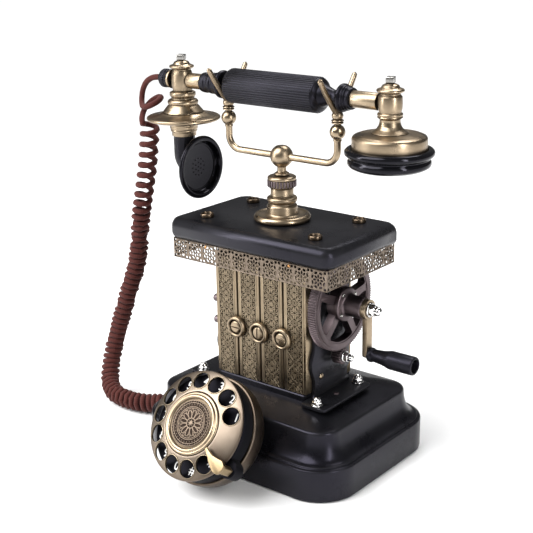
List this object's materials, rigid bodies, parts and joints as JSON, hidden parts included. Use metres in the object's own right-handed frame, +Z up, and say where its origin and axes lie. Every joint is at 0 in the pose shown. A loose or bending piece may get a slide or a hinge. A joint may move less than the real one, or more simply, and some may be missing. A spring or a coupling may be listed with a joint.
{
  "type": "rotary telephone",
  "caption": "Antique-style desk telephone: rotary dial, magneto magnets with hand crank and gears, cradle on a pedestal, and a horn handset on a curly cord.",
  "frame": {"origin": "centre of the base underside, on the surface it stands on", "axes": "+X towards the hand crank, -Y towards the dial and the user, +Z up"},
  "size_m": [0.3026, 0.1914, 0.2886],
  "materials": {
    "aged_brass": "antique brass, satin with dark patina in the recesses",
    "black_lacquer": "satin black lacquer",
    "black_plastic": "satin black moulding",
    "black_gloss": "polished black",
    "gunmetal": "dark blackened steel",
    "steel": "satin steel",
    "dark_steel": "matte dark grey",
    "chrome": "polished chrome",
    "board": "green laminate",
    "cord_textile": "maroon braided textile"
  },
  "bodies": {
    "base_frame": {"base_housing": "black_lacquer", "base_plate": "dark_steel", "circuit_board": "board", "ringer": "aged_brass", "line_jack": "black_plastic", "cord_socket": "black_plastic", "dial_housing": "aged_brass", "number_plate": "black_plastic", "finger_stop": "aged_brass", "magnet_1": "aged_brass", "magnet_2": "aged_brass", "magnet_3": "aged_brass", "magnet_4": "aged_brass", "boss_1": "aged_brass", "boss_2": "aged_brass", "boss_3": "aged_brass", "side_plate_left": "black_lacquer", "side_plate_right": "black_lacquer", "foot_nut_front_left": "chrome", "foot_nut_front_right": "chrome", "foot_nut_back_left": "chrome", "foot_nut_back_right": "chrome", "lid": "black_lacquer", "lid_screw_1": "aged_brass", "lid_screw_2": "aged_brass", "lid_screw_3": "aged_brass", "lid_screw_4": "aged_brass", "frieze": "aged_brass", "pedestal": "aged_brass", "pedestal_collar": "gunmetal", "hook_switch": "black_plastic", "cord_coil": "cord_textile"},
    "cradle": {"cradle_ball": "aged_brass", "cradle_arm_left": "aged_brass", "cradle_arm_right": "aged_brass", "fork_left": "aged_brass", "fork_right": "aged_brass"},
    "handset": {"grip": "black_plastic", "handset_tube_left": "aged_brass", "handset_tube_right": "aged_brass", "transmitter_body": "aged_brass", "transmitter_flange": "aged_brass", "horn": "black_gloss", "mouthpiece": "black_gloss", "receiver_body": "aged_brass", "receiver_drum": "aged_brass", "ear_cap": "black_plastic", "head_bolt_left": "steel", "head_bolt_right": "steel", "cord_gland": "black_plastic", "cord_lead": "cord_textile"},
    "crank": {"drive_gear": "gunmetal", "crank_shaft": "gunmetal", "crank_arm": "aged_brass", "crank_nut": "chrome"},
    "crank_grip_body": {"crank_grip": "black_plastic"},
    "rotor": {"pinion": "gunmetal", "armature": "steel"},
    "dial": {"finger_wheel": "aged_brass", "dial_cap": "aged_brass"}
  },
  "joints": [
    {"name": "handset_lift", "type": "slide", "parent": "base_frame", "child": "handset", "axis": [0, 0, 1], "range_m": [0, 0.1]},
    {"name": "cradle_hook", "type": "slide", "parent": "base_frame", "child": "cradle", "axis": [0, 0, 1], "range_m": [0, 0.006]},
    {"name": "dial_turn", "type": "hinge", "parent": "base_frame", "child": "dial", "pos_m": [0, -0.0997, 0.0513], "axis": [0, 0.8241, -0.5664], "range_deg": [0, 342], "stiffness_Nm_per_rad": 0.01, "springref_deg": -57.3},
    {"name": "crank_turn", "type": "hinge", "parent": "base_frame", "child": "crank", "pos_m": [0, 0, 0.1234], "axis": [1, 0, 0], "continuous": true},
    {"name": "rotor_turn", "type": "hinge", "parent": "base_frame", "child": "rotor", "pos_m": [0, 0, 0.08303], "axis": [1, 0, 0], "continuous": true},
    {"name": "grip_spin", "type": "hinge", "parent": "crank", "child": "crank_grip_body", "pos_m": [0, 0, 0.09], "axis": [1, 0, 0], "continuous": true}
  ],
  "couplings": [
    {"joint": "cradle_hook", "follows": "handset_lift", "ratio": 0.06},
    {"joint": "rotor_turn", "follows": "crank_turn", "ratio": -6}
  ]
}
